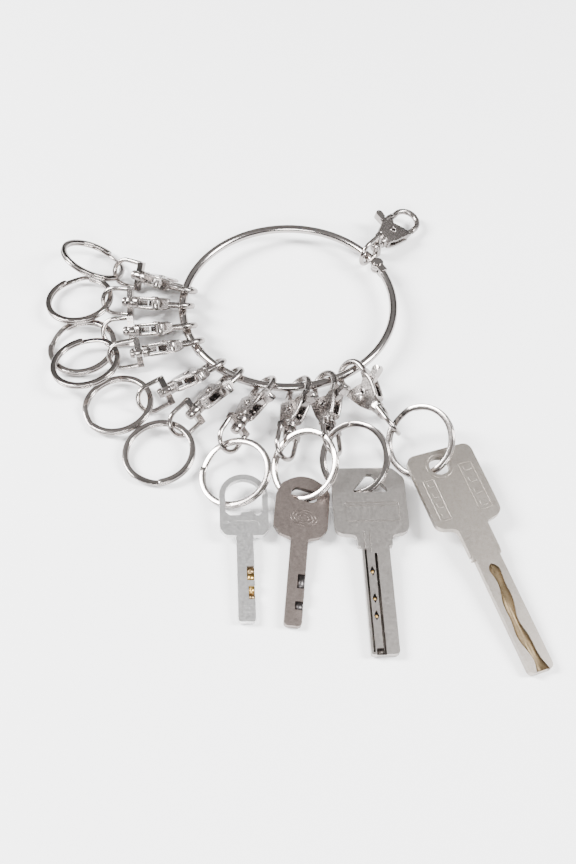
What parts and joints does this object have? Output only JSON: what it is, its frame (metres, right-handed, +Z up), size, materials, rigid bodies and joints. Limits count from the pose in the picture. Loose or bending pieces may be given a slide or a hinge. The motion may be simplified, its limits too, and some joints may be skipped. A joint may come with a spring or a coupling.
{
  "type": "key organiser",
  "caption": "Hinged key ring with eleven swivel snap clasps and four keys; ten clasps hold split rings and one is free.",
  "frame": {"origin": "centre of the main ring, at the level of the surface the part lies on", "axes": "+Z up, +X right, +Y away from the keys; the keys point along -Y"},
  "size_m": [0.1689, 0.1941, 0.0176],
  "materials": {
    "ring_wire": "polished nickel-plated wire with fine scratches",
    "split_ring_steel": "polished spring steel",
    "clasp_body": "nickel-plated die casting, slightly rough",
    "gate_lever": "nickel-plated, worn at the thumb tab",
    "rivet": "rolled tube rivet",
    "swivel_eye": "polished nickel plate",
    "key_silver": "nickel silver with brass-toned notches",
    "key_brown": "worn nickel over brass",
    "key_milled": "satin nickel silver, milled grooves",
    "key_brass_toned": "nickel plate worn to brass at the edges"
  },
  "bodies": {
    "ring_fixed": {"ring_fixed": "ring_wire"},
    "ring_opening": {"ring_opening": "ring_wire"},
    "clasp_01": {"hook_01": "clasp_body", "pin_01": "rivet"},
    "lever_01": {"lever_01": "gate_lever"},
    "eye_01": {"eye_01": "swivel_eye"},
    "split_ring_01": {"split_ring_01": "split_ring_steel"},
    "clasp_02": {"hook_02": "clasp_body", "pin_02": "rivet"},
    "lever_02": {"lever_02": "gate_lever"},
    "eye_02": {"eye_02": "swivel_eye"},
    "split_ring_02": {"split_ring_02": "split_ring_steel"},
    "clasp_03": {"hook_03": "clasp_body", "pin_03": "rivet"},
    "lever_03": {"lever_03": "gate_lever"},
    "eye_03": {"eye_03": "swivel_eye"},
    "split_ring_03": {"split_ring_03": "split_ring_steel"},
    "clasp_04": {"hook_04": "clasp_body", "pin_04": "rivet"},
    "lever_04": {"lever_04": "gate_lever"},
    "eye_04": {"eye_04": "swivel_eye"},
    "split_ring_04": {"split_ring_04": "split_ring_steel"},
    "clasp_05": {"hook_05": "clasp_body", "pin_05": "rivet"},
    "lever_05": {"lever_05": "gate_lever"},
    "eye_05": {"eye_05": "swivel_eye"},
    "split_ring_05": {"split_ring_05": "split_ring_steel"},
    "clasp_06": {"hook_06": "clasp_body", "pin_06": "rivet"},
    "lever_06": {"lever_06": "gate_lever"},
    "eye_06": {"eye_06": "swivel_eye"},
    "split_ring_06": {"split_ring_06": "split_ring_steel"},
    "clasp_07": {"hook_07": "clasp_body", "pin_07": "rivet"},
    "lever_07": {"lever_07": "gate_lever"},
    "eye_07": {"eye_07": "swivel_eye"},
    "split_ring_07": {"split_ring_07": "split_ring_steel"},
    "clasp_08": {"hook_08": "clasp_body", "pin_08": "rivet"},
    "lever_08": {"lever_08": "gate_lever"},
    "eye_08": {"eye_08": "swivel_eye"},
    "split_ring_08": {"split_ring_08": "split_ring_steel"},
    "clasp_09": {"hook_09": "clasp_body", "pin_09": "rivet"},
    "lever_09": {"lever_09": "gate_lever"},
    "eye_09": {"eye_09": "swivel_eye"},
    "split_ring_09": {"split_ring_09": "split_ring_steel"},
    "clasp_10": {"hook_10": "clasp_body", "pin_10": "rivet"},
    "lever_10": {"lever_10": "gate_lever"},
    "eye_10": {"eye_10": "swivel_eye"},
    "split_ring_10": {"split_ring_10": "split_ring_steel"},
    "eye_11": {"eye_11": "swivel_eye"},
    "clasp_11": {"hook_11": "clasp_body", "pin_11": "rivet"},
    "lever_11": {"lever_11": "gate_lever"},
    "key_1": {"key_1": "key_silver"},
    "key_2": {"key_2": "key_brown"},
    "key_3": {"key_3": "key_milled"},
    "key_4": {"key_4": "key_brass_toned"}
  },
  "joints": [
    {"name": "ring_hinge", "type": "hinge", "parent": "ring_fixed", "child": "ring_opening", "pos_m": [0.03334, 0.01925, 0.0065], "axis": [0, 0, 1], "range_deg": [0, 50]},
    {"name": "clasp_01_swing", "type": "hinge", "parent": "ring_fixed", "child": "clasp_01", "pos_m": [-0.03779, 0.00735, 0.0065], "axis": [0.1908, 0.9816, 0], "range_deg": [0, 20]},
    {"name": "gate_01", "type": "hinge", "parent": "clasp_01", "child": "lever_01", "pos_m": [-0.04731, 0.01158, 0.00568], "axis": [-0.2369, -0.6685, -0.7049], "range_deg": [0, 16], "stiffness_Nm_per_rad": 0.004, "springref_deg": -20.05},
    {"name": "swivel_01", "type": "hinge", "parent": "clasp_01", "child": "eye_01", "pos_m": [-0.0556, 0.01527, 0.00497], "axis": [0.9107, -0.4055, 0.0785], "range_deg": [-12, 12]},
    {"name": "ring_01_swing", "type": "hinge", "parent": "eye_01", "child": "split_ring_01", "pos_m": [-0.06263, 0.01803, 0.00367], "axis": [0.0583, 0.9208, -0.3855], "range_deg": [0, 30]},
    {"name": "clasp_02_slide", "type": "hinge", "parent": "ring_fixed", "child": "clasp_02", "pos_m": [0, 0, 0.0065], "axis": [0, 0, 1], "range_deg": [0, 2]},
    {"name": "gate_02", "type": "hinge", "parent": "clasp_02", "child": "lever_02", "pos_m": [-0.04882, 0.00078, 0.00586], "axis": [-0.0606, -0.73, -0.6807], "range_deg": [0, 16], "stiffness_Nm_per_rad": 0.004, "springref_deg": -20.05},
    {"name": "swivel_02", "type": "hinge", "parent": "clasp_02", "child": "eye_02", "pos_m": [-0.05782, 0.00204, 0.00531], "axis": [0.9884, -0.1389, 0.061], "range_deg": [-15, 0]},
    {"name": "ring_02_turn", "type": "hinge", "parent": "eye_02", "child": "split_ring_02", "pos_m": [-0.077, 0.0045, 0.004], "axis": [-0.0694, 0.1045, 0.9921], "continuous": true},
    {"name": "clasp_03_slide", "type": "hinge", "parent": "ring_fixed", "child": "clasp_03", "pos_m": [0, 0, 0.0065], "axis": [0, 0, 1], "range_deg": [-2.5, 0]},
    {"name": "gate_03", "type": "hinge", "parent": "clasp_03", "child": "lever_03", "pos_m": [-0.04741, -0.01098, 0.00559], "axis": [0.0842, -0.7407, -0.6666], "range_deg": [0, 16], "stiffness_Nm_per_rad": 0.004, "springref_deg": -20.05},
    {"name": "swivel_03", "type": "hinge", "parent": "clasp_03", "child": "eye_03", "pos_m": [-0.05647, -0.01129, 0.0048], "axis": [0.9956, 0.0348, 0.0872], "range_deg": [-2, 1]},
    {"name": "ring_03_turn", "type": "hinge", "parent": "eye_03", "child": "split_ring_03", "pos_m": [-0.074, -0.017, 0.0025], "axis": [-0.0871, -0.0175, 0.996], "continuous": true},
    {"name": "clasp_04_swing", "type": "hinge", "parent": "ring_fixed", "child": "clasp_04", "pos_m": [-0.03399, -0.01808, 0.0065], "axis": [-0.4695, 0.8829, 0], "range_deg": [0, 18]},
    {"name": "gate_04", "type": "hinge", "parent": "clasp_04", "child": "lever_04", "pos_m": [-0.04417, -0.02042, 0.00632], "axis": [0.1785, -0.7215, -0.669], "range_deg": [0, 16], "stiffness_Nm_per_rad": 0.004, "springref_deg": -20.05},
    {"name": "swivel_04", "type": "hinge", "parent": "clasp_04", "child": "eye_04", "pos_m": [-0.05304, -0.02247, 0.00616], "axis": [0.9742, 0.2249, 0.0175], "range_deg": [0, 16]},
    {"name": "ring_04_swing", "type": "hinge", "parent": "eye_04", "child": "split_ring_04", "pos_m": [-0.06043, -0.02403, 0.00699], "axis": [-0.2438, 0.9584, -0.1485], "range_deg": [0, 30]},
    {"name": "clasp_05_swing", "type": "hinge", "parent": "ring_opening", "child": "clasp_05", "pos_m": [-0.02576, -0.02861, 0.0065], "axis": [-0.7431, 0.6691, 0], "range_deg": [0, 6]},
    {"name": "gate_05", "type": "hinge", "parent": "clasp_05", "child": "lever_05", "pos_m": [-0.03469, -0.03398, 0.00568], "axis": [0.4172, -0.5885, -0.6925], "range_deg": [0, 16], "stiffness_Nm_per_rad": 0.004, "springref_deg": -20.05},
    {"name": "swivel_05", "type": "hinge", "parent": "clasp_05", "child": "eye_05", "pos_m": [-0.04247, -0.03865, 0.00497], "axis": [0.8545, 0.5135, 0.0785], "range_deg": [-15, 8]},
    {"name": "ring_05_swing", "type": "hinge", "parent": "eye_05", "child": "split_ring_05", "pos_m": [-0.04764, -0.04238, 0.00439], "axis": [-0.0967, 0.9952, -0.0119], "range_deg": [0, 10]},
    {"name": "clasp_06_swing", "type": "hinge", "parent": "ring_opening", "child": "clasp_06", "pos_m": [-0.01925, -0.03334, 0.0065], "axis": [-0.866, 0.5, 0], "range_deg": [0, 25]},
    {"name": "gate_06", "type": "hinge", "parent": "clasp_06", "child": "lever_06", "pos_m": [-0.02622, -0.04109, 0.00577], "axis": [0.567, -0.4453, -0.693], "range_deg": [0, 16], "stiffness_Nm_per_rad": 0.004, "springref_deg": -20.05},
    {"name": "swivel_06", "type": "hinge", "parent": "clasp_06", "child": "eye_06", "pos_m": [-0.0323, -0.04784, 0.00514], "axis": [0.6675, 0.7413, 0.0698], "range_deg": [-20, 20]},
    {"name": "ring_06_swing", "type": "hinge", "parent": "eye_06", "child": "split_ring_06", "pos_m": [-0.03753, -0.05377, 0.00438], "axis": [-0.8502, 0.5257, -0.0282], "range_deg": [0, 40]},
    {"name": "clasp_07_swing", "type": "hinge", "parent": "ring_opening", "child": "clasp_07", "pos_m": [-0.008, -0.03766, 0.0065], "axis": [-0.9781, 0.2079, 0], "range_deg": [0, 15]},
    {"name": "gate_07", "type": "hinge", "parent": "clasp_07", "child": "lever_07", "pos_m": [-0.01275, -0.04697, 0.00668], "axis": [0.6354, -0.3374, -0.6946], "range_deg": [0, 16], "stiffness_Nm_per_rad": 0.004, "springref_deg": -20.05},
    {"name": "swivel_07", "type": "hinge", "parent": "clasp_07", "child": "eye_07", "pos_m": [-0.01688, -0.05507, 0.00684], "axis": [0.4539, 0.8909, -0.0175], "range_deg": [-15, 15]},
    {"name": "ring_07_turn", "type": "hinge", "parent": "eye_07", "child": "split_ring_07", "pos_m": [-0.0175, -0.073, 0.005], "axis": [-0.2722, -0.1564, 0.9494], "range_deg": [-40, 0]},
    {"name": "clasp_08_swing", "type": "hinge", "parent": "ring_opening", "child": "clasp_08", "pos_m": [0.00402, -0.03829, 0.0065], "axis": [-0.9945, -0.1045, 0], "range_deg": [0, 6]},
    {"name": "gate_08", "type": "hinge", "parent": "clasp_08", "child": "lever_08", "pos_m": [0.00203, -0.04855, 0.0065], "axis": [0.7061, -0.1373, -0.6947], "range_deg": [0, 16], "stiffness_Nm_per_rad": 0.004, "springref_deg": -20.05},
    {"name": "swivel_08", "type": "hinge", "parent": "clasp_08", "child": "eye_08", "pos_m": [0.00029, -0.05748, 0.0065], "axis": [0.1908, 0.9816, 0], "range_deg": [-12, 0]},
    {"name": "ring_08_swing", "type": "hinge", "parent": "eye_08", "child": "split_ring_08", "pos_m": [-0.00226, -0.06368, 0.0063], "axis": [-0.5497, -0.6257, -0.5535], "range_deg": [0, 18]},
    {"name": "clasp_09_swing", "type": "hinge", "parent": "ring_opening", "child": "clasp_09", "pos_m": [0.01253, -0.0364, 0.0065], "axis": [-0.9455, -0.3256, 0], "range_deg": [0, 2]},
    {"name": "gate_09", "type": "hinge", "parent": "clasp_09", "child": "lever_09", "pos_m": [0.01345, -0.04681, 0.00659], "axis": [0.7171, 0.0567, -0.6946], "range_deg": [0, 16], "stiffness_Nm_per_rad": 0.004, "springref_deg": -20.05},
    {"name": "swivel_09", "type": "hinge", "parent": "clasp_09", "child": "eye_09", "pos_m": [0.01424, -0.05588, 0.00667], "axis": [-0.0872, 0.9962, -0.0087], "range_deg": [-15, 15]},
    {"name": "ring_09_swing", "type": "hinge", "parent": "eye_09", "child": "split_ring_09", "pos_m": [0.01288, -0.06309, 0.0078], "axis": [-0.4161, -0.6582, -0.6275], "range_deg": [0, 4]},
    {"name": "clasp_10_swing", "type": "hinge", "parent": "ring_opening", "child": "clasp_10", "pos_m": [0.02153, -0.03192, 0.0065], "axis": [-0.829, -0.5592, 0], "range_deg": [0, 20]},
    {"name": "gate_10", "type": "hinge", "parent": "clasp_10", "child": "lever_10", "pos_m": [0.02691, -0.04088, 0.0065], "axis": [0.6166, 0.3705, -0.6947], "range_deg": [0, 16], "stiffness_Nm_per_rad": 0.004, "springref_deg": -20.05},
    {"name": "swivel_10", "type": "hinge", "parent": "clasp_10", "child": "eye_10", "pos_m": [0.0316, -0.04868, 0.0065], "axis": [-0.515, 0.8572, 0], "range_deg": [-20, 20]},
    {"name": "ring_10_swing", "type": "hinge", "parent": "eye_10", "child": "split_ring_10", "pos_m": [0.03551, -0.05552, 0.00692], "axis": [-0.4318, -0.6612, -0.6135], "range_deg": [0, 20]},
    {"name": "eye_11_swing", "type": "hinge", "parent": "ring_fixed", "child": "eye_11", "pos_m": [0.02949, 0.02475, 0.0065], "axis": [0.6428, -0.766, 0], "range_deg": [0, 60]},
    {"name": "swivel_11", "type": "hinge", "parent": "eye_11", "child": "clasp_11", "pos_m": [0.0342, 0.03056, 0.00591], "axis": [0.6274, 0.7748, -0.0785], "continuous": true},
    {"name": "gate_11", "type": "hinge", "parent": "clasp_11", "child": "lever_11", "pos_m": [0.03991, 0.03761, 0.0052], "axis": [0.2488, -0.104, 0.9629], "range_deg": [0, 28], "stiffness_Nm_per_rad": 0.004, "springref_deg": -20.05},
    {"name": "key_1_swing", "type": "hinge", "parent": "split_ring_07", "child": "key_1", "pos_m": [-0.01428, -0.084, 0.00411], "axis": [0.9206, 0.2446, 0.3043], "range_deg": [-8, 3]},
    {"name": "key_2_swing", "type": "hinge", "parent": "split_ring_08", "child": "key_2", "pos_m": [0.00548, -0.08283, 0.00413], "axis": [0.8703, -0.1675, 0.4632], "range_deg": [-5, 20]},
    {"name": "key_3_swing", "type": "hinge", "parent": "split_ring_09", "child": "key_3", "pos_m": [0.02686, -0.07996, 0.00594], "axis": [0.7892, 0.2078, 0.5779], "range_deg": [-10, 18]},
    {"name": "key_4_swing", "type": "hinge", "parent": "split_ring_10", "child": "key_4", "pos_m": [0.04969, -0.07294, 0.00799], "axis": [0.6973, 0.335, 0.6336], "range_deg": [-20, 10]}
  ]
}
